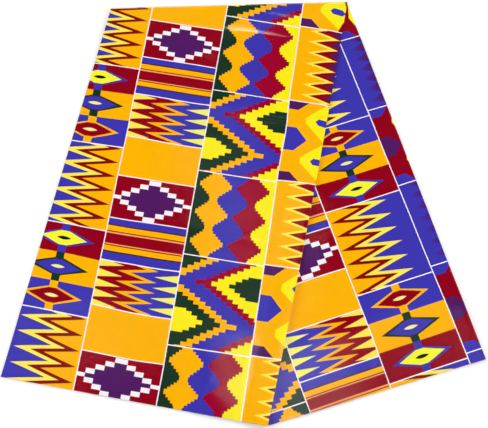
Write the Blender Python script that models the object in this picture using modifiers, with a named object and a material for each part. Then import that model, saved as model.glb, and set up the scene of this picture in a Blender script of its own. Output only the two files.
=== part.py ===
"""A cut length of printed cotton, doubled along its length and folded over at the top.

The doubled strip comes up the front leg, turns over at the top fold and goes back down
beneath as the back leg, the two legs spread like an upside-down V. Metres, +Z up, the
origin at the bottom centre of the whole.
"""
import math

import bpy
from mathutils import Vector

# The cloth, the height from one layer to the next, and the middle of the bend at the top fold
SHEET = 0.0012
LAYER_PITCH = 0.0022
ROLL_RADIUS = LAYER_PITCH / 2
BEND_HEIGHT = SHEET / 2 + 1.5 * LAYER_PITCH

# The outline as it lies, with slants turned from straight down towards +X
TOP_FOLD = 0.582
FRONT_FREE_EDGE = 0.916
FRONT_FREE_SLANT = math.radians(-15.2)
FRONT_ROLLED_EDGE = 1.048
FRONT_ROLLED_SLANT = math.radians(-14.3)
BACK_ROLLED_EDGE = 0.924
BACK_ROLLED_SLANT = math.radians(14.25)
BACK_FREE_EDGE = 1.062
BACK_FREE_SLANT = math.radians(14.4)

# The front rolled edge swings out a little between the fold and the cut end
FRONT_ROLL_BOW = 0.0055

# The hidden corner of the back leg is drawn up under the front leg
TUCK = 0.040
TUCK_SHARE = 0.113

# Where the front leg comes down off the back leg onto the surface
RAMP_START = 0.018
RAMP_WIDTH = 0.100

# How finely the sheet is divided
LAYER_STEPS = 14
ROLL_STEPS = 6
FRONT_STEPS = 22
BEND_STEPS = 8
BACK_STEPS = 20
ACROSS_STEPS = 2 * LAYER_STEPS + ROLL_STEPS
ALONG_STEPS = FRONT_STEPS + BEND_STEPS + BACK_STEPS

# Soft swells of the layer that shows: how far across the leg from its free edge, how far down
# it from the top fold, both as shares, the turn from straight across in degrees, and the size
FRONT_SWELLS = (
    # across, down, turn, half length, half width, height
    (0.55, 0.10, 6, 0.160, 0.040, 0.0022),
    (0.62, 0.28, -8, 0.150, 0.045, 0.0026),
    (0.30, 0.46, 10, 0.140, 0.050, 0.0018),
    (0.60, 0.56, -4, 0.130, 0.045, 0.0024),
    (0.28, 0.78, 8, 0.150, 0.055, 0.0026),
    (0.72, 0.82, -10, 0.120, 0.050, 0.0022),
)
BACK_SWELLS = (
    # across, down, turn, half length, half width, height
    (0.86, 0.34, -20, 0.090, 0.040, 0.0018),
    (0.72, 0.62, 12, 0.120, 0.045, 0.0024),
    (0.50, 0.86, 10, 0.140, 0.050, 0.0026),
    (0.84, 0.84, -14, 0.110, 0.045, 0.0020),
)

# The rolled edges stand up softly towards the cut ends
FRONT_ROLL_LIFT = 0.0070
BACK_ROLL_LIFT = 0.0025
ROLL_LIFT_WIDTH = 0.055
FOLD_CALM = 0.070

COLLECTION = "african print fabric"
NODE = "print_cloth"
GOLD = (1.0, 0.43, 0.0, 1.0)


def smooth(value):
    """Soft step from 0 to 1."""
    value = min(max(value, 0.0), 1.0)
    return value * value * (3.0 - 2.0 * value)


def down(slant, length):
    """A stretch of the given length that runs down the sheet at a slant."""
    return Vector((math.sin(slant), -math.cos(slant))) * length


def outline():
    """The corners of the two legs in plan, about the middle of the whole."""
    top_left = Vector((0.0, 0.0))
    top_right = Vector((TOP_FOLD, 0.0))
    corners = {
        "top_left": top_left,
        "top_right": top_right,
        "front_left": top_left + down(FRONT_FREE_SLANT, FRONT_FREE_EDGE),
        "front_right": top_right + down(FRONT_ROLLED_SLANT, FRONT_ROLLED_EDGE),
        "back_left": top_left + down(BACK_FREE_SLANT, BACK_FREE_EDGE),
        "back_right": top_right + down(BACK_ROLLED_SLANT, BACK_ROLLED_EDGE),
    }
    lowest = corners["front_right"].y
    middle_x = (corners["front_left"].x + corners["back_right"].x) / 2
    middle = Vector((middle_x, lowest / 2))
    return {name: point - middle for name, point in corners.items()}


CORNERS = outline()
LEG_CORNERS = {
    "front": (CORNERS["front_left"], CORNERS["front_right"]),
    "back": (CORNERS["back_left"], CORNERS["back_right"]),
}


def station_across(step):
    """Share of the width from the free edge, and the turn round the roll, for one step."""
    if step <= LAYER_STEPS:
        return step / LAYER_STEPS, 0.0
    if step < LAYER_STEPS + ROLL_STEPS:
        return 1.0, math.pi * (step - LAYER_STEPS) / ROLL_STEPS
    return (ACROSS_STEPS - step) / LAYER_STEPS, math.pi


def station_along(step):
    """The leg, the share of it from the top fold, and the turn round the top fold."""
    if step <= FRONT_STEPS:
        return "front", 1.0 - step / FRONT_STEPS, 0.0
    if step < FRONT_STEPS + BEND_STEPS:
        turn = math.pi * (step - FRONT_STEPS) / BEND_STEPS
        leg = "front" if turn < math.pi / 2 else "back"
        return leg, 0.0, turn
    return "back", (step - FRONT_STEPS - BEND_STEPS) / BACK_STEPS, math.pi


def cut_end(leg, across):
    """The point of a leg's cut end at a share of its width."""
    left, right = LEG_CORNERS[leg]
    point = left.lerp(right, across)
    if leg == "back":
        point = point - down(BACK_FREE_SLANT, TUCK * max(0.0, 1.0 - across / TUCK_SHARE))
    return point


def on_leg(leg, across, along):
    """The plan point of a leg at shares of its width and of its length."""
    top = CORNERS["top_left"].lerp(CORNERS["top_right"], across) - Vector((0.0, BEND_HEIGHT))
    plan = top.lerp(cut_end(leg, across), along)
    if leg == "front":
        plan.x += FRONT_ROLL_BOW * across * across * math.sin(math.pi * along)
    return plan


def swell(plan, leg):
    """Height that the layer that shows stands above flat at a plan point."""
    height = 0.0
    rows = FRONT_SWELLS if leg == "front" else BACK_SWELLS
    for across, along, turn, half_length, half_width, rise in rows:
        away = plan - on_leg(leg, across, along)
        turn = math.radians(turn)
        lengthwise = away.x * math.cos(turn) + away.y * math.sin(turn)
        crosswise = away.y * math.cos(turn) - away.x * math.sin(turn)
        height += rise * math.exp(-(lengthwise / half_length) ** 2 - (crosswise / half_width) ** 2)
    return height


def right_of_line(plan, start, slant):
    """Distance of a plan point from a slanting line, positive on the +X side."""
    direction = down(slant, 1.0)
    away = plan - start
    return away.y * direction.x - away.x * direction.y


def lifted(plan, leg, along, layer_height):
    """Height that swells and the rolled edge add to a point of a leg."""
    calm = smooth(along * FRONT_ROLLED_EDGE / FOLD_CALM)
    outer = (layer_height - ROLL_RADIUS) / LAYER_PITCH
    if leg == "front":
        to_roll = right_of_line(plan, CORNERS["top_right"], FRONT_ROLLED_SLANT)
        roll = FRONT_ROLL_LIFT * along * smooth(1.0 - abs(to_roll) / ROLL_LIFT_WIDTH)
        return calm * smooth(outer) * (swell(plan, leg) + roll)
    to_roll = right_of_line(plan, CORNERS["top_right"], BACK_ROLLED_SLANT)
    roll = BACK_ROLL_LIFT * along * smooth(1.0 - abs(to_roll) / ROLL_LIFT_WIDTH)
    clear = right_of_line(plan, CORNERS["top_right"], FRONT_ROLLED_SLANT)
    calm *= smooth(clear / FOLD_CALM)
    return calm * smooth(1.0 - outer) * (swell(plan, leg) + roll)


def ramp(plan, leg):
    """Change of height where the front leg comes down beside the back leg's hidden edge."""
    if leg == "back":
        return 0.0
    beside = -right_of_line(plan, CORNERS["top_left"], BACK_FREE_SLANT)
    return -2.0 * LAYER_PITCH * smooth((beside - RAMP_START) / RAMP_WIDTH)


def place(across_step, along_step):
    """Where one point of the flat sheet lies once it is folded."""
    across, roll_turn = station_across(across_step)
    leg, along, bend_turn = station_along(along_step)
    layer_height = LAYER_PITCH + ROLL_RADIUS * math.cos(roll_turn)
    roll_inset = (ROLL_RADIUS * (1.0 - math.sin(roll_turn)) + SHEET / 2) / TOP_FOLD
    plan = on_leg(leg, across * (1.0 - roll_inset), along)
    x = plan.x
    y = plan.y + layer_height * math.sin(bend_turn)
    z = BEND_HEIGHT + layer_height * math.cos(bend_turn)
    z += ramp(plan, leg) + lifted(plan, leg, along, layer_height)
    return Vector((x, y, z))


def cotton():
    """Smooth, slightly glossy printed cotton."""
    material = bpy.data.materials.new("printed_cotton")
    material.use_nodes = True
    shader = material.node_tree.nodes["Principled BSDF"]
    shader.inputs["Base Color"].default_value = GOLD
    shader.inputs["Roughness"].default_value = 0.45
    shader.inputs["Metallic"].default_value = 0.0
    material.diffuse_color = GOLD
    return material


def folded_cloth(collection):
    """The whole cut length: a flat grid folded by place() and given its thickness."""
    bpy.ops.mesh.primitive_grid_add(
        x_subdivisions=ACROSS_STEPS, y_subdivisions=ALONG_STEPS, size=1.0)
    cloth = bpy.context.active_object
    cloth.name = NODE
    cloth.data.name = NODE
    for vertex in cloth.data.vertices:
        across_step = round((vertex.co.x + 0.5) * ACROSS_STEPS)
        along_step = round((vertex.co.y + 0.5) * ALONG_STEPS)
        vertex.co = place(across_step, along_step)
    cloth.data.materials.append(cotton())
    cloth.data.shade_smooth()

    thickness = cloth.modifiers.new("sheet thickness", "SOLIDIFY")
    thickness.thickness = SHEET
    thickness.offset = 0.0
    thickness.use_even_offset = True

    for owner in list(cloth.users_collection):
        owner.objects.unlink(cloth)
    collection.objects.link(cloth)
    return cloth


def main():
    """Clear the scene and build the cloth."""
    for item in list(bpy.data.objects):
        bpy.data.objects.remove(item, do_unlink=True)
    collection = bpy.data.collections.new(COLLECTION)
    bpy.context.scene.collection.children.link(collection)
    folded_cloth(collection)


main()
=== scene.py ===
"""A length of African print cotton, doubled, folded over at the top and laid out in a studio.

The cloth is one thin sheet that follows the folds of its solid. The print is drawn by nodes
on the sheet's own print map, whose unit is the width of one column of the print. There u runs
across the cloth and is 0 on the line between columns one and two, and v runs down the front
leg and is 0 a little below the top fold.
"""
import math

import bpy
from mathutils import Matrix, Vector, noise


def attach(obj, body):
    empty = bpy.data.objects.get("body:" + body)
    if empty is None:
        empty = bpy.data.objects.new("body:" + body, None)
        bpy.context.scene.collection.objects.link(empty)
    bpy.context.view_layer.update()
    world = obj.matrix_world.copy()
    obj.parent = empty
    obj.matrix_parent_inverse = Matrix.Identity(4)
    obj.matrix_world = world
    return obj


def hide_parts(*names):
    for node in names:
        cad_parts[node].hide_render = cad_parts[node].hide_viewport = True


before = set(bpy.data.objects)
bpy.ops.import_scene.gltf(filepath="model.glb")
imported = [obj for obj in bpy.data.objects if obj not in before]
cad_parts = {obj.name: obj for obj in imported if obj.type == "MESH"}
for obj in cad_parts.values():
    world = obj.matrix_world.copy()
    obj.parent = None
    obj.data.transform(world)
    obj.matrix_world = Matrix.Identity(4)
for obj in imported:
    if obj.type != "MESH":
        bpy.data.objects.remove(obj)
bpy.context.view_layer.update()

# The cloth, as its solid lies, with slants turned from straight down towards +X
NODE = "print_cloth"
SOLID_SHEET = 0.0012
LAYER_PITCH = 0.0022
ROLL_RADIUS = LAYER_PITCH / 2
BEND_HEIGHT = SOLID_SHEET / 2 + 1.5 * LAYER_PITCH
TOP_FOLD = 0.582
FRONT_FREE_EDGE = 0.916
FRONT_FREE_SLANT = math.radians(-15.2)
FRONT_ROLLED_EDGE = 1.048
FRONT_ROLLED_SLANT = math.radians(-14.3)
BACK_ROLLED_EDGE = 0.924
BACK_ROLLED_SLANT = math.radians(14.25)
BACK_FREE_EDGE = 1.062
BACK_FREE_SLANT = math.radians(14.4)

# The front rolled edge swings out a little, and the hidden corner of the back leg is drawn up
FRONT_ROLL_BOW = 0.0055
TUCK = 0.040
TUCK_SHARE = 0.113

# Where the front leg comes down off the two layers of the back leg onto the surface
LAYERS_BENEATH = 2.0
RAMP_START = 0.018
RAMP_WIDTH = 0.100

# The real sheet is thinner than the solid, and its layers lie closer by a share
SHEET = 0.0005
CLOSER = 0.55
SMOOTH_ANGLE = math.radians(40.0)

# How finely the sheet is divided
LAYER_STEPS = 60
ROLL_STEPS = 14
FRONT_STEPS = 240
BEND_STEPS = 12
BACK_STEPS = 100
ACROSS_STEPS = 2 * LAYER_STEPS + ROLL_STEPS
ALONG_STEPS = FRONT_STEPS + BEND_STEPS + BACK_STEPS

# Soft swells and press creases of the layer that shows: how far across the leg from its free
# edge, how far down it from the top fold, both as shares, the turn from straight across in
# degrees, and the size
FRONT_SWELLS = (
    # across, down, turn, half length, half width, height
    (0.55, 0.10, 6, 0.160, 0.040, 0.0022),
    (0.62, 0.28, -8, 0.150, 0.045, 0.0026),
    (0.30, 0.46, 10, 0.140, 0.050, 0.0018),
    (0.60, 0.56, -4, 0.130, 0.045, 0.0024),
    (0.28, 0.78, 8, 0.150, 0.055, 0.0026),
    (0.72, 0.82, -10, 0.120, 0.050, 0.0022),
    (0.69, 0.090, -11, 0.105, 0.0075, 0.0012),
    (0.70, 0.030, -14, 0.060, 0.0075, 0.0010),
    (0.80, 0.312, -11, 0.075, 0.0068, 0.0020),
    (0.60, 0.356, -30, 0.060, 0.0072, 0.0019),
    (0.77, 0.60, -12, 0.100, 0.0075, 0.0012),
    (0.34, 0.83, -40, 0.045, 0.020, 0.0010),
    (0.09, 0.62, 20, 0.050, 0.016, 0.0010),
    (0.08, 0.88, -50, 0.060, 0.018, 0.0012),
)
BACK_SWELLS = (
    # across, down, turn, half length, half width, height
    (0.86, 0.34, -20, 0.090, 0.040, 0.0018),
    (0.72, 0.62, 12, 0.120, 0.045, 0.0024),
    (0.50, 0.86, 10, 0.140, 0.050, 0.0026),
    (0.84, 0.84, -14, 0.110, 0.045, 0.0020),
    (0.48, 0.74, 40, 0.070, 0.010, 0.0009),
    (0.78, 0.92, 30, 0.060, 0.016, 0.0010),
)

# A swell is left out where the square of its reach is over this
SWELL_END = 9.0

# The small slack of laid cloth: how close its hollows lie, and their height
BROAD_SLACK = 7.0
BROAD_SLACK_HEIGHT = 0.0007
FINE_SLACK = 19.0
FINE_SLACK_HEIGHT = 0.00022

# The slack is taken from another plane of the noise for the back leg and for the fine slack
BACK_SLACK_PLANE = 7.0
FINE_SLACK_PLANE = 3.0

# The rolled edges stand up softly towards the cut ends
ROLL_LIFT = {"front": 0.0070, "back": 0.0025}
ROLL_LIFT_WIDTH = 0.055
FOLD_CALM = 0.070

# Where the print lies: the width of a column, and on each leg the plan place of a point of
# the print, that point's u and v, and the slant of the print's lines
COLUMN = 0.180
PRINT_POINT = {"front": Vector((-0.1899, 0.4706)), "back": Vector((0.2345, -0.1694))}
PRINT_PLACE = {"front": Vector((0.0, 0.0)), "back": Vector((3.890, -4.536))}
PRINT_SLANT = {"front": math.radians(-11.63), "back": math.radians(195.4)}

# On the back leg the print is drawn together by a share from this v up to the top fold
BACK_EASE = 0.04
BACK_EASE_START = -3.636

# Where laying has drawn the print askew: the u and v of the middle, how far it reaches across
# and along, and how far the print lies towards higher u and v there, in columns
PRINT_SLACK = {
    "front": (
        # u, v, reach across, reach along, shift of u, shift of v
        (1.75, 0.30, 0.50, 0.42, 0.006, 0.040),
        (-0.75, 0.40, 0.30, 0.25, 0.0, 0.016),
        (-0.30, 1.62, 0.30, 0.38, 0.033, 0.0),
        (1.90, 1.30, 0.50, 0.35, 0.020, 0.0),
        (2.35, 1.95, 0.35, 0.55, 0.0, -0.027),
        (-0.95, 4.40, 0.80, 1.60, 0.0, -0.062),
        (1.75, 2.75, 0.45, 0.50, 0.004, 0.020),
        (0.80, 1.40, 0.30, 0.35, 0.012, 0.021),
        (0.20, 1.50, 0.30, 0.50, -0.010, -0.012),
        (0.72, 3.50, 0.35, 0.30, 0.0, 0.024),
        (0.10, 3.40, 0.30, 0.22, 0.0, 0.014),
        (0.10, 3.98, 0.35, 0.25, 0.0, -0.020),
        (0.60, 4.45, 0.35, 0.30, 0.008, 0.021),
        (1.40, 4.65, 0.30, 0.25, 0.015, 0.024),
        (2.62, -0.55, 0.12, 0.35, 0.020, 0.030),
        (2.60, 0.20, 0.14, 0.45, 0.0, 0.016),
        (2.55, 1.25, 0.09, 0.35, 0.0, 0.022),
    ),
    "back": (
        # u, v, reach across, reach along, shift of u, shift of v
        (4.12, -5.40, 0.20, 0.50, -0.018, 0.0),
        (4.80, -5.60, 0.40, 0.70, 0.028, 0.0),
        (3.10, -5.60, 0.25, 0.90, -0.015, 0.0),
        (4.10, -3.30, 0.30, 0.30, 0.0, 0.026),
    ),
}

# The repeat of the print, the left edges of its four columns, and half the width of a line
REPEAT_ACROSS = 3.890
REPEAT_ALONG = 2.268
COLUMN_ONE = -1.022
COLUMN_TWO = 0.0
COLUMN_THREE = 1.0
COLUMN_FOUR = 2.016
LINE_REACH = 0.0068

# On the turned-over leg, where v is under a limit, column four lies lower, in columns
TURNED_OVER = -0.82
BACK_DROP = 0.046

# How far the ink strays in the cloth, in columns, and the threads to a column
INK_BLEED = 0.006
INK_DRIFT = 0.012
THREADS = 420.0

# The shade and the roughness of the cotton, each as its least and its range, how much the weave
# adds to the shade, how strongly the cotton mirrors, and the heights of crumples and of weave
SHADE = (0.965, 0.05)
GLAZE = (0.06, 0.10)
WEAVE_SHADE = 0.012
GLOSS = 0.50
CRUMPLE_HEIGHT = 0.00060
WEAVE_HEIGHT = 0.00001

# How a screen's values turn into light
DARK_END = 0.04045
DARK_SLOPE = 12.92
TONE_OFFSET = 0.055
TONE_POWER = 2.4

# The sockets of a mix node: its share, then the ground, what goes over it and the result
MIX_SHARE = 0
NUMBER_SOCKETS = (2, 3, 0)
COLOUR_SOCKETS = (6, 7, 2)

CAMERA_PLACE = (-0.0950, -0.6578, 1.9590)
CAMERA_TURN = (17.819, -2.194, -3.007)
CAMERA_LENS = 66.6
CAMERA_SENSOR = 36.0

FLOOR_SIZE = 12.0
FLOOR_DROP = 0.0002
FLOOR_COLOUR = (0.97, 0.97, 0.97, 1.0)
FLOOR_ROUGHNESS = 0.9
FLOOR_GLOSS = 0.1
AIR_COLOUR = (1.0, 1.0, 1.0, 1.0)
AIR_LIGHT = 0.02

# Soft boxes on the four sides, and small panes overhead that the glaze mirrors as bright spots
LAMPS = (
    # name, place, width and depth, watts
    ("left_soft_box", (-2.3, 0.0, 1.4), (1.6, 1.2), 44.0),
    ("right_soft_box", (2.3, 0.0, 1.4), (1.6, 1.2), 42.0),
    ("near_soft_box", (0.0, -1.75, 2.3), (2.0, 0.6), 24.0),
    ("far_soft_box", (0.1, 2.85, 2.2), (2.2, 0.7), 46.0),
    ("pane_over_the_gap", (0.265, -0.11, 2.3), (0.13, 0.21), 1.15),
    ("pane_over_the_right_end", (0.92, -0.01, 2.3), (0.12, 0.12), 0.26),
    ("pane_over_the_middle", (0.10, 0.14, 2.3), (0.12, 0.10), 0.18),
    ("pane_over_the_stairs", (0.02, 1.13, 2.3), (0.10, 0.06), 0.15),
    ("pane_over_the_waves", (0.11, 0.66, 2.3), (0.14, 0.18), 0.34),
    ("pane_over_the_plain_panel", (-0.48, 0.17, 2.3), (0.12, 0.08), 0.13),
    ("pane_over_the_left_edge", (-0.88, 0.13, 2.3), (0.08, 0.20), 0.22),
)


def smooth(value):
    """Soft step from 0 to 1."""
    value = min(max(value, 0.0), 1.0)
    return value * value * (3.0 - 2.0 * value)


def down(slant, length):
    """A stretch of the given length that runs down the sheet at a slant."""
    return Vector((math.sin(slant), -math.cos(slant))) * length


def outline():
    """The corners of the two legs in plan, about the middle of the whole."""
    top_left = Vector((0.0, 0.0))
    top_right = Vector((TOP_FOLD, 0.0))
    corners = {
        "top_left": top_left,
        "top_right": top_right,
        "front_left": top_left + down(FRONT_FREE_SLANT, FRONT_FREE_EDGE),
        "front_right": top_right + down(FRONT_ROLLED_SLANT, FRONT_ROLLED_EDGE),
        "back_left": top_left + down(BACK_FREE_SLANT, BACK_FREE_EDGE),
        "back_right": top_right + down(BACK_ROLLED_SLANT, BACK_ROLLED_EDGE),
    }
    lowest = corners["front_right"].y
    middle_x = (corners["front_left"].x + corners["back_right"].x) / 2
    middle = Vector((middle_x, lowest / 2))
    return {name: point - middle for name, point in corners.items()}


CORNERS = outline()
LEG_CORNERS = {
    "front": (CORNERS["front_left"], CORNERS["front_right"]),
    "back": (CORNERS["back_left"], CORNERS["back_right"]),
}
ROLLED_SLANT = {"front": FRONT_ROLLED_SLANT, "back": BACK_ROLLED_SLANT}


def station_across(step):
    """Share of the width from the free edge, and the turn round the roll, for one step."""
    if step <= LAYER_STEPS:
        return step / LAYER_STEPS, 0.0
    if step < LAYER_STEPS + ROLL_STEPS:
        return 1.0, math.pi * (step - LAYER_STEPS) / ROLL_STEPS
    return (ACROSS_STEPS - step) / LAYER_STEPS, math.pi


def station_along(step):
    """The leg, the share of it from the top fold, and the turn round the top fold."""
    if step <= FRONT_STEPS:
        return "front", 1.0 - step / FRONT_STEPS, 0.0
    if step < FRONT_STEPS + BEND_STEPS:
        turn = math.pi * (step - FRONT_STEPS) / BEND_STEPS
        leg = "front" if turn < math.pi / 2 else "back"
        return leg, 0.0, turn
    return "back", (step - FRONT_STEPS - BEND_STEPS) / BACK_STEPS, math.pi


def cut_end(leg, across):
    """The point of a leg's cut end at a share of its width."""
    left, right = LEG_CORNERS[leg]
    point = left.lerp(right, across)
    if leg == "back":
        point = point - down(BACK_FREE_SLANT, TUCK * max(0.0, 1.0 - across / TUCK_SHARE))
    return point


def on_leg(leg, across, along):
    """The plan point of a leg at shares of its width and of its length."""
    top = CORNERS["top_left"].lerp(CORNERS["top_right"], across) - Vector((0.0, BEND_HEIGHT))
    plan = top.lerp(cut_end(leg, across), along)
    if leg == "front":
        plan.x += FRONT_ROLL_BOW * across * across * math.sin(math.pi * along)
    return plan


def right_of_line(plan, start, slant):
    """Distance of a plan point from a slanting line, positive on the +X side."""
    direction = down(slant, 1.0)
    away = plan - start
    return away.y * direction.x - away.x * direction.y


def swell_rows(rows, leg):
    """The swells of a leg with their middles, directions and sizes worked out."""
    worked = []
    for across, along, turn, half_length, half_width, rise in rows:
        turn = math.radians(turn)
        middle = on_leg(leg, across, along)
        worked.append((middle.x, middle.y, math.cos(turn), math.sin(turn),
                       half_length, half_width, rise))
    return worked


SWELLS = {"front": swell_rows(FRONT_SWELLS, "front"), "back": swell_rows(BACK_SWELLS, "back")}


def swell(plan, leg):
    """Height that the layer that shows stands above flat at a plan point."""
    height = 0.0
    for x, y, cosine, sine, half_length, half_width, rise in SWELLS[leg]:
        lengthwise = (plan.x - x) * cosine + (plan.y - y) * sine
        crosswise = (plan.y - y) * cosine - (plan.x - x) * sine
        reach = (lengthwise / half_length) ** 2 + (crosswise / half_width) ** 2
        if reach < SWELL_END:
            height += rise * math.exp(-reach)
    return height


def unevenness(plan, leg):
    """The small slack of laid cloth, never below flat."""
    plane = 0.0 if leg == "front" else BACK_SLACK_PLANE
    broad = noise.noise(Vector((plan.x * BROAD_SLACK, plan.y * BROAD_SLACK, plane)))
    plane += FINE_SLACK_PLANE
    fine = noise.noise(Vector((plan.x * FINE_SLACK, plan.y * FINE_SLACK, plane)))
    return BROAD_SLACK_HEIGHT * (1.0 + broad) + FINE_SLACK_HEIGHT * (1.0 + fine)


def rolled_rise(plan, leg, along):
    """How far a leg's rolled edge stands up at a plan point."""
    to_roll = right_of_line(plan, CORNERS["top_right"], ROLLED_SLANT[leg])
    return ROLL_LIFT[leg] * along * smooth(1.0 - abs(to_roll) / ROLL_LIFT_WIDTH)


def lifted(plan, leg, along, layer_height):
    """Height that swells, slack and the rolled edge add to a point of a leg."""
    calm = smooth(along * FRONT_ROLLED_EDGE / FOLD_CALM)
    outer = (layer_height - ROLL_RADIUS) / LAYER_PITCH
    relief = swell(plan, leg) + unevenness(plan, leg) + rolled_rise(plan, leg, along)
    if leg == "front":
        return calm * smooth(outer) * relief
    clear = right_of_line(plan, CORNERS["top_right"], FRONT_ROLLED_SLANT)
    calm *= smooth(clear / FOLD_CALM)
    return calm * smooth(1.0 - outer) * relief


def ramp(plan, leg):
    """Change of height where the front leg comes down beside the back leg's hidden edge."""
    if leg == "back":
        return 0.0
    beside = -right_of_line(plan, CORNERS["top_left"], BACK_FREE_SLANT)
    return -LAYERS_BENEATH * LAYER_PITCH * smooth((beside - RAMP_START) / RAMP_WIDTH)


def place(across_step, along_step):
    """Where one point of the flat sheet lies once it is folded."""
    across, roll_turn = station_across(across_step)
    leg, along, bend_turn = station_along(along_step)
    layer_height = LAYER_PITCH + ROLL_RADIUS * math.cos(roll_turn)
    roll_inset = (ROLL_RADIUS * (1.0 - math.sin(roll_turn)) + SOLID_SHEET / 2) / TOP_FOLD
    plan = on_leg(leg, across * (1.0 - roll_inset), along)
    y = plan.y + layer_height * math.sin(bend_turn)
    z = BEND_HEIGHT + layer_height * math.cos(bend_turn) + ramp(plan, leg)
    z = SHEET / 2 + CLOSER * (z - SOLID_SHEET / 2)
    return Vector((plan.x, y, z + lifted(plan, leg, along, layer_height)))


def print_at(leg, plan, beneath):
    """The u and v of a plan point of a leg, on the layer that shows or the one beneath."""
    if beneath:
        slant = ROLLED_SLANT[leg]
        outward = Vector((math.cos(slant), math.sin(slant)))
        plan = plan - 2.0 * right_of_line(plan, CORNERS["top_right"], slant) * outward
    away = (plan - PRINT_POINT[leg]) / COLUMN
    along = down(PRINT_SLANT[leg], 1.0)
    across = Vector((-along.y, along.x))
    u = PRINT_PLACE[leg].x + away.dot(across)
    v = PRINT_PLACE[leg].y + away.dot(along)
    if leg == "back":
        v += BACK_EASE * max(0.0, v - BACK_EASE_START)
    shift = Vector((0.0, 0.0))
    for middle_u, middle_v, reach_u, reach_v, shift_u, shift_v in PRINT_SLACK[leg]:
        reach = ((u - middle_u) / reach_u) ** 2 + ((v - middle_v) / reach_v) ** 2
        shift += Vector((shift_u, shift_v)) * math.exp(-reach)
    return Vector((u, v)) - shift


def print_on_leg(leg, across, along, roll_turn):
    """The u and v of a point of a leg, carried evenly round the rolled edge."""
    edge = 1.0 - (ROLL_RADIUS + SOLID_SHEET / 2) / TOP_FOLD
    plan = on_leg(leg, across * edge, along)
    left_layer = print_at(leg, plan, leg == "back")
    right_layer = print_at(leg, plan, leg == "front")
    return left_layer.lerp(right_layer, roll_turn / math.pi)


def print_map(across_step, along_step):
    """The u and v of one point of the sheet, carried evenly over the top fold."""
    across, roll_turn = station_across(across_step)
    leg, along, bend_turn = station_along(along_step)
    if along > 0.0:
        return print_on_leg(leg, across, along, roll_turn)
    front = print_on_leg("front", across, 0.0, roll_turn)
    back = print_on_leg("back", across, 0.0, roll_turn)
    return front.lerp(back, bend_turn / math.pi)


class Number:
    """A number worked out at each point of the cloth; arithmetic on it adds nodes."""

    def __init__(self, tree, socket):
        self.tree = tree
        self.socket = socket

    def by(self, operation, *others, clamp=False):
        """The result of a math node on this number and others."""
        node = self.tree.nodes.new("ShaderNodeMath")
        node.operation = operation
        node.use_clamp = clamp
        self.tree.links.new(self.socket, node.inputs[0])
        for socket_number, value in enumerate(others, start=1):
            if isinstance(value, Number):
                self.tree.links.new(value.socket, node.inputs[socket_number])
            else:
                node.inputs[socket_number].default_value = value
        return Number(self.tree, node.outputs[0])

    def __add__(self, other):
        return self.by("ADD", other)

    def __sub__(self, other):
        return self.by("SUBTRACT", other)

    def __rsub__(self, other):
        return self.by("MULTIPLY_ADD", -1.0, other)

    def __mul__(self, other):
        return self.by("MULTIPLY", other)

    def __abs__(self):
        return self.by("ABSOLUTE")

    def scaled(self, factor, added):
        """This number times a factor, with another number added."""
        return self.by("MULTIPLY_ADD", factor, added)

    def past(self, limit):
        """How far this is over the limit, and 0 where it is under it."""
        return (self - limit).by("MAXIMUM", 0.0)

    def above(self, limit):
        """1 where this is over the limit."""
        return self.by("GREATER_THAN", limit)

    def below(self, limit):
        """1 where this is under the limit."""
        return self.by("LESS_THAN", limit)

    def near(self, *values):
        """1 where this is within a line's reach of one of the values."""
        mask = self.by("COMPARE", values[0], LINE_REACH)
        for value in values[1:]:
            mask = mask.either(self.by("COMPARE", value, LINE_REACH))
        return mask

    def also(self, other):
        """1 where both masks are 1."""
        return self.by("MULTIPLY", other)

    def either(self, other):
        """1 where one of the masks is 1."""
        return self.by("MAXIMUM", other)

    def zigzag(self, peak, pitch):
        """A wave of straight slopes from 0 to 1, at 1 on the peak and every pitch from it."""
        return self.scaled(2.0 / pitch, 1.0 - 2.0 * peak / pitch).by("PINGPONG", 1.0)

    def repeated(self, start, end):
        """This number brought into one repeat."""
        return self.by("WRAP", end, start)


def as_light(share):
    """A share of full brightness on a screen, as light."""
    if share <= DARK_END:
        return share / DARK_SLOPE
    return ((share + TONE_OFFSET) / (1.0 + TONE_OFFSET)) ** TONE_POWER


def dye(red, green, blue):
    """A colour of ink given as it looks on a screen, from 0 to 255."""
    return tuple(as_light(channel / 255.0) for channel in (red, green, blue)) + (1.0,)


GOLD = dye(254, 180, 2)
YELLOW = dye(251, 236, 24)
LEMON = dye(252, 231, 84)
PRIMROSE = dye(243, 239, 108)
CITRON = dye(247, 243, 52)
STRAW = dye(246, 238, 140)
CRIMSON = dye(144, 2, 26)
WINE = dye(156, 2, 42)
RUST = dye(132, 12, 10)
MAROON = dye(78, 22, 40)
VIOLET = dye(61, 54, 173)
PURPLE = dye(81, 26, 97)
PINE = dye(25, 52, 35)
SOOT = dye(20, 22, 14)
SALMON = dye(250, 158, 96)
CHALK = dye(252, 240, 247)


def paint(tree, ground, ink, mask):
    """Ink laid over a ground where the mask is 1."""
    ground_socket, ink_socket, result_socket = COLOUR_SOCKETS
    node = tree.nodes.new("ShaderNodeMix")
    node.data_type = "RGBA"
    tree.links.new(mask.socket, node.inputs[MIX_SHARE])
    for socket_number, colour in ((ground_socket, ground), (ink_socket, ink)):
        if isinstance(colour, tuple):
            node.inputs[socket_number].default_value = colour
        else:
            tree.links.new(colour, node.inputs[socket_number])
    return node.outputs[result_socket]


def paint_number(tree, ground, over, mask):
    """One number over another where the mask is 1."""
    ground_socket, over_socket, result_socket = NUMBER_SOCKETS
    node = tree.nodes.new("ShaderNodeMix")
    node.data_type = "FLOAT"
    tree.links.new(mask.socket, node.inputs[MIX_SHARE])
    tree.links.new(ground.socket, node.inputs[ground_socket])
    tree.links.new(over.socket, node.inputs[over_socket])
    return Number(tree, node.outputs[result_socket])


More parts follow.
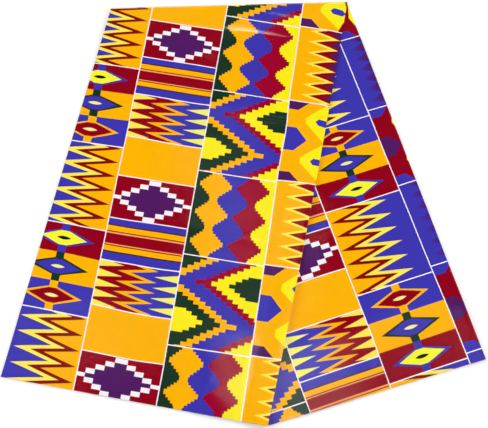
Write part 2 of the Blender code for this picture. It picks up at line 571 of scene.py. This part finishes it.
def banded(tree, number, low, high, bands):
    """Plain bands along a number, each given by where it starts and its ink."""
    share = number.scaled(1.0 / (high - low), -low / (high - low))
    node = tree.nodes.new("ShaderNodeValToRGB")
    ramp_stops = node.color_ramp
    ramp_stops.interpolation = "CONSTANT"
    while len(ramp_stops.elements) < len(bands):
        ramp_stops.elements.new(1.0)
    for element, (start, ink) in zip(ramp_stops.elements, bands):
        element.position = (start - low) / (high - low)
        element.color = ink
    tree.links.new(share.socket, node.inputs[0])
    return node.outputs[0]


def toothed(tree, u, wave, first_ink, edges):
    """Inks side by side, each parted from the last by an edge that swings with a wave."""
    colour = first_ink
    for at_rest, at_peak, ink in edges:
        edge = wave.scaled(at_peak - at_rest, at_rest)
        colour = paint(tree, colour, ink, u.above(edge))
    return colour


def half_hexagon(u, height, slope, point, half_height):
    """Half a hexagon, on the left line where its slope is positive and else on the right."""
    tapered = height.scaled(slope, u)
    inside = tapered.below(point) if slope > 0.0 else tapered.above(point)
    return inside.also(height.below(half_height))


def spear_column(tree, u, v):
    """Column one: yellow and rust spearheads, then three framed lozenges on a stem."""
    start, lozenges = -0.379, 0.753
    end = start + REPEAT_ALONG
    v = v.repeated(start, end)
    spears = toothed(tree, u, v.zigzag(peak=-0.3545, pitch=0.1895), VIOLET, (
        # u between the spears, u at their points, ink to the right of that edge
        (-0.806, -0.362, LEMON),
        (-0.606, -0.194, RUST),
        (-0.439, -0.022, GOLD),
    ))

    stem, half_stem = -0.4975, 0.05
    frame_slope, frame_height = 0.34, 0.1135
    fill_slope, fill_height = 0.388, 0.094
    eye_half_length, eye_half_height = 0.088, 0.022
    third = (end - lozenges) / 3.0
    count = (v - lozenges) * (1.0 / third)

    def in_turn(first, second, last):
        """An ink for each of the three lozenges."""
        return banded(tree, count, 0.0, 3.0, ((0.0, first), (1.0, second), (2.0, last)))

    aside = abs(u - stem)
    height = abs(count.by("FRACT") - 0.5) * third
    beyond_stem = aside.past(half_stem)
    frames = in_turn(VIOLET, PINE, GOLD)
    colour = in_turn(CRIMSON, GOLD, VIOLET)
    colour = paint(tree, colour, frames, aside.below(half_stem))
    framed = beyond_stem.scaled(frame_slope, height).below(frame_height)
    colour = paint(tree, colour, frames, framed)
    filled = beyond_stem.scaled(fill_slope, height).below(fill_height)
    colour = paint(tree, colour, in_turn(CITRON, VIOLET, CRIMSON), filled)
    eye_rise = height * (1.0 / eye_half_height)
    eye = (aside * aside).scaled(1.0 / eye_half_length ** 2, eye_rise).below(1.0)
    colour = paint(tree, colour, in_turn(SOOT, STRAW, STRAW), eye)
    return paint(tree, spears, colour, v.above(lozenges)), v.near(start, end, lozenges)


def diamond_column(tree, u, v):
    """Column two: a stepped diamond, stripes, two-coloured flames and a plain panel."""
    start, stripes, flames, plain = -0.004, 0.562, 1.108, 1.722
    end = start + REPEAT_ALONG
    v = v.repeated(start, end)

    middle_u, middle_v = 0.494, 0.281
    half_core, step_width, step_height = 0.075, 0.107, 0.0625
    half_height, border = 0.211, 0.060
    height = abs(v - middle_v)
    steps = (abs(u - middle_u) - half_core).by("DIVIDE", step_width).by("FLOOR")
    rim = steps.scaled(-step_height, half_height)
    colour = paint(tree, CRIMSON, CHALK, height.below(rim))
    colour = paint(tree, colour, PURPLE, height.below(rim - border))

    bars = banded(tree, v, stripes, flames, (
        (0.562, VIOLET), (0.649, MAROON), (0.663, GOLD), (0.731, RUST), (0.744, SALMON),
        (0.766, CRIMSON), (0.893, SALMON), (0.909, RUST), (0.922, GOLD), (0.986, MAROON),
        (1.000, VIOLET),
    ))
    tongues = toothed(tree, u, v.zigzag(peak=1.283, pitch=0.1405), LEMON, (
        # u between the flames, u at their tips, ink to the right of that edge
        (-0.075, 0.306, CRIMSON),
        (0.240, 0.588, GOLD),
        (0.400, 0.740, VIOLET),
        (0.700, 1.130, PRIMROSE),
    ))
    colour = paint(tree, colour, bars, v.above(stripes))
    colour = paint(tree, colour, tongues, v.above(flames))
    colour = paint(tree, colour, GOLD, v.above(plain))
    return colour, v.near(start, end, stripes, flames, plain)


def stair_column(tree, u, v):
    """Column three: chains of stepped lozenges, then broad stepped chevrons."""
    start, chevrons = -0.240, 0.880
    end = start + REPEAT_ALONG
    on_front = v.above(TURNED_OVER)
    v = v.repeated(start, end)

    stairs, stair_share = 6.0, 0.225
    bulge = (1.0 - v.zigzag(peak=0.3075, pitch=0.382)) * stairs
    swing = (bulge.by("FLOOR") * stair_share).by("MINIMUM", 1.0)
    chains = toothed(tree, u, swing, PINE, (
        # u where the violet is narrowest, u where it is widest, ink to the right of that edge
        (1.054, 1.202, GOLD),
        (1.461, 1.304, VIOLET),
        (1.530, 1.686, WINE),
        (1.943, 1.788, YELLOW),
    ))

    stair, climb = 0.0733, 1.611
    lowest, high = 1.206, 0.502
    left_stairs, right_stairs = 1.0067, 1.0407
    left_yellow_end, left_tip_start, left_tip_end = 0.5726, 1.70, 1.793
    wine_start, right_yellow_start, right_pine_start = 1.2566, 1.3966, 1.6214
    right_tip_start = 1.207
    blunt, stub = 0.030, 0.150
    turning = (v - lowest).by("PINGPONG", high)
    fallen = turning * climb
    near_left = (u - left_stairs).by("SNAP", stair) + (left_stairs + stair / 2) - fallen
    near_right = (u - right_stairs).by("SNAP", stair) + (right_stairs + stair / 2) - fallen
    left_point = near_left.below(left_yellow_end).also(turning.above(high - stub))
    left_tip = turning.above(high - blunt)
    left_tip = left_tip.also(u.above(left_tip_start)).also(u.below(left_tip_end))
    right_tip = turning.below(blunt).also(u.above(right_tip_start)).also(on_front)
    right_point = near_right.above(right_pine_start).also(turning.below(stub))
    spread = banded(tree, near_left, 0.0, 2.0, ((0.0, PINE), (0.7915, GOLD), (0.9416, VIOLET)))
    spread = paint(tree, spread, YELLOW, left_point)
    spread = paint(tree, spread, GOLD, left_tip)
    spread = paint(tree, spread, WINE, near_right.above(wine_start).either(right_tip))
    spread = paint(tree, spread, YELLOW, near_right.above(right_yellow_start))
    spread = paint(tree, spread, PINE, right_point)
    return paint(tree, chains, spread, v.above(chevrons)), v.near(start, end, chevrons)


def flame_column(tree, u, v):
    """Column four: flames, then yellow blobs between two sorts of half hexagon."""
    start, blobs = -0.262, 0.856
    end = start + REPEAT_ALONG
    blob, half_pitch = 1.122, 0.2875
    from_blob = (v.repeated(start, end) - blob).by("PINGPONG", half_pitch)
    turned_over = v.below(TURNED_OVER)
    v = turned_over.scaled(BACK_DROP, v).repeated(start, end)

    dusk_end, dusk_slope = 2.60, 6.0
    dusk = paint(tree, PURPLE, VIOLET, (u - dusk_end).by("MULTIPLY", dusk_slope, clamp=True))
    flames = toothed(tree, u, v.zigzag(peak=-0.134, pitch=0.1607), GOLD, (
        # u between the flames, u at their tips, ink to the right of that edge
        (2.158, 2.460, LEMON),
        (2.262, 2.575, CRIMSON),
        (2.470, 2.600, dusk),
        (2.560, 2.770, VIOLET),
    ))

    middle = (blobs + end) / 2
    from_line = (middle - blobs) - abs(v - middle)
    from_left = abs(v - 1.408)
    from_right = abs(v - 1.418)
    purple_left = half_hexagon(u, from_line, slope=1.06, point=2.294, half_height=0.130)
    violet_left = half_hexagon(u, from_left, slope=0.94, point=2.311, half_height=0.164)
    violet_right = half_hexagon(u, from_line, slope=-0.95, point=2.594, half_height=0.130)
    purple_right = half_hexagon(u, from_right, slope=-0.98, point=2.598, half_height=0.144)
    flat_side, rim_slope, rim_u = 0.04, 1.15, 2.267
    far_slope, far_u = 0.31, 2.622
    rim = from_blob.past(flat_side).scaled(rim_slope, rim_u)
    beyond_blob = from_blob.scaled(far_slope, u).above(far_u)
    bead_u, bead_slope, bead_width, bead_height = 2.495, 0.9, 0.098, 0.046
    bead = from_blob.scaled(bead_slope, abs(u - bead_u)).below(bead_width)
    bead = bead.also(from_blob.below(bead_height)).also(1.0 - turned_over)
    colour = paint(tree, GOLD, PURPLE, purple_left)
    colour = paint(tree, colour, VIOLET, violet_left)
    colour = paint(tree, colour, YELLOW, u.above(rim))
    colour = paint(tree, colour, CRIMSON, beyond_blob)
    colour = paint(tree, colour, VIOLET, violet_right)
    colour = paint(tree, colour, PURPLE, purple_right)
    colour = paint(tree, colour, VIOLET, bead)
    return paint(tree, flames, colour, v.above(blobs)), v.near(start, end, blobs)


def print_colour(tree, u, v):
    """The whole print: four columns side by side, parted by fine pale lines."""
    right_edge = COLUMN_ONE + REPEAT_ACROSS
    u = u.repeated(COLUMN_ONE, right_edge)
    colour, lines = spear_column(tree, u, v)
    for left_edge, column in (
        (COLUMN_TWO, diamond_column),
        (COLUMN_THREE, stair_column),
        (COLUMN_FOUR, flame_column),
    ):
        inks, cross_lines = column(tree, u, v)
        inside = u.above(left_edge)
        colour = paint(tree, colour, inks, inside)
        lines = paint_number(tree, lines, cross_lines, inside).either(u.near(left_edge))
    return paint(tree, colour, CHALK, lines.either(u.near(COLUMN_ONE, right_edge)))


def fabric_noise(tree, position, scale, detail, roughness=0.5):
    """Soft noise over the cloth."""
    node = tree.nodes.new("ShaderNodeTexNoise")
    node.noise_dimensions = "2D"
    node.inputs["Scale"].default_value = scale
    node.inputs["Detail"].default_value = detail
    node.inputs["Roughness"].default_value = roughness
    tree.links.new(position, node.inputs["Vector"])
    return Number(tree, node.outputs["Fac"])


def glazed_cotton():
    """Glazed plain-weave cotton with the print on it."""
    material = bpy.data.materials.new("glazed_print_cotton")
    material.use_nodes = True
    tree = material.node_tree
    shader = tree.nodes["Principled BSDF"]

    place_map = tree.nodes.new("ShaderNodeUVMap")
    place_map.uv_map = "print"
    position = place_map.outputs[0]
    axes = tree.nodes.new("ShaderNodeSeparateXYZ")
    tree.links.new(position, axes.inputs[0])
    u = Number(tree, axes.outputs[0])
    v = Number(tree, axes.outputs[1])

    bleed = fabric_noise(tree, position, scale=26.0, detail=2.0) - 0.5
    drift = fabric_noise(tree, position, scale=1.3, detail=0.0) - 0.5
    printed = print_colour(tree, bleed.scaled(INK_BLEED, u), drift.scaled(INK_DRIFT, v))

    warp = (u * (THREADS * math.tau)).by("SINE")
    weft = (v * (THREADS * math.tau)).by("SINE")
    weave = warp * weft
    depth = fabric_noise(tree, position, scale=5.0, detail=3.0)
    least_shade, shade_range = SHADE
    shade = depth.scaled(shade_range, least_shade) + weave * WEAVE_SHADE
    tinted = tree.nodes.new("ShaderNodeVectorMath")
    tinted.operation = "SCALE"
    tree.links.new(printed, tinted.inputs[0])
    tree.links.new(shade.socket, tinted.inputs["Scale"])
    tree.links.new(tinted.outputs[0], shader.inputs["Base Color"])

    glaze = fabric_noise(tree, position, scale=2.4, detail=2.0)
    least_glaze, glaze_range = GLAZE
    tree.links.new(glaze.scaled(glaze_range, least_glaze).socket, shader.inputs["Roughness"])
    shader.inputs["Specular IOR Level"].default_value = GLOSS

    crumple = fabric_noise(tree, position, scale=4.5, detail=2.0, roughness=0.45)
    relief = crumple.scaled(CRUMPLE_HEIGHT, weave * WEAVE_HEIGHT)
    bump = tree.nodes.new("ShaderNodeBump")
    bump.inputs["Strength"].default_value = 1.0
    bump.inputs["Distance"].default_value = 1.0
    tree.links.new(relief.socket, bump.inputs["Height"])
    tree.links.new(bump.outputs[0], shader.inputs["Normal"])
    return material


def print_cloth():
    """The cut length of cloth, folded, with its print map and its thickness."""
    bpy.ops.object.select_all(action="DESELECT")
    bpy.ops.mesh.primitive_grid_add(
        x_subdivisions=ACROSS_STEPS, y_subdivisions=ALONG_STEPS, size=1.0)
    cloth = bpy.context.active_object
    cloth.name = "folded_print_cloth"
    mesh = cloth.data
    places = []
    for vertex in mesh.vertices:
        across_step = round((vertex.co.x + 0.5) * ACROSS_STEPS)
        along_step = round((vertex.co.y + 0.5) * ALONG_STEPS)
        vertex.co = place(across_step, along_step)
        places.append(print_map(across_step, along_step))
    while mesh.uv_layers:
        mesh.uv_layers.remove(mesh.uv_layers[0])
    layer = mesh.uv_layers.new(name="print")
    for loop in mesh.loops:
        layer.uv[loop.index].vector = places[loop.vertex_index]
    mesh.materials.append(glazed_cotton())

    thickness = cloth.modifiers.new("thickness", "SOLIDIFY")
    thickness.thickness = SHEET
    thickness.offset = 0.0
    thickness.use_even_offset = True
    bpy.ops.object.modifier_apply(modifier=thickness.name)
    bpy.ops.object.shade_smooth_by_angle(angle=SMOOTH_ANGLE)
    return cloth


def studio_floor():
    """A pale paper floor just beneath the cloth."""
    bpy.ops.object.select_all(action="DESELECT")
    bpy.ops.mesh.primitive_plane_add(size=FLOOR_SIZE, location=(0.0, 0.0, -FLOOR_DROP))
    floor = bpy.context.active_object
    floor.name = "studio_floor"
    paper = bpy.data.materials.new("studio_paper")
    paper.use_nodes = True
    surface = paper.node_tree.nodes["Principled BSDF"]
    surface.inputs["Base Color"].default_value = FLOOR_COLOUR
    surface.inputs["Roughness"].default_value = FLOOR_ROUGHNESS
    surface.inputs["Specular IOR Level"].default_value = FLOOR_GLOSS
    floor.data.materials.append(paper)


def studio_light():
    """The lamps, each turned to the middle of the cloth, and a little light from all round."""
    for name, place_of, size, watts in LAMPS:
        lamp = bpy.data.lights.new(name, "AREA")
        lamp.shape = "RECTANGLE"
        lamp.size, lamp.size_y = size
        lamp.energy = watts
        holder = bpy.data.objects.new(name, lamp)
        bpy.context.scene.collection.objects.link(holder)
        holder.location = place_of
        holder.rotation_euler = (-Vector(place_of)).to_track_quat("-Z", "Y").to_euler()

    world = bpy.data.worlds.new("studio_air")
    world.use_nodes = True
    air = world.node_tree.nodes["Background"]
    air.inputs["Color"].default_value = AIR_COLOUR
    air.inputs["Strength"].default_value = AIR_LIGHT
    bpy.context.scene.world = world
    bpy.context.scene.view_settings.view_transform = "Standard"


def studio_camera():
    """The camera, where the photo was taken from."""
    eye = bpy.data.cameras.new("camera")
    eye.lens = CAMERA_LENS
    eye.sensor_width = CAMERA_SENSOR
    camera = bpy.data.objects.new("camera", eye)
    bpy.context.scene.collection.objects.link(camera)
    camera.location = CAMERA_PLACE
    camera.rotation_euler = [math.radians(turn) for turn in CAMERA_TURN]
    bpy.context.scene.camera = camera


studio_floor()
studio_light()
studio_camera()
cloth = print_cloth()
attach(cloth, "root")
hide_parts(NODE)
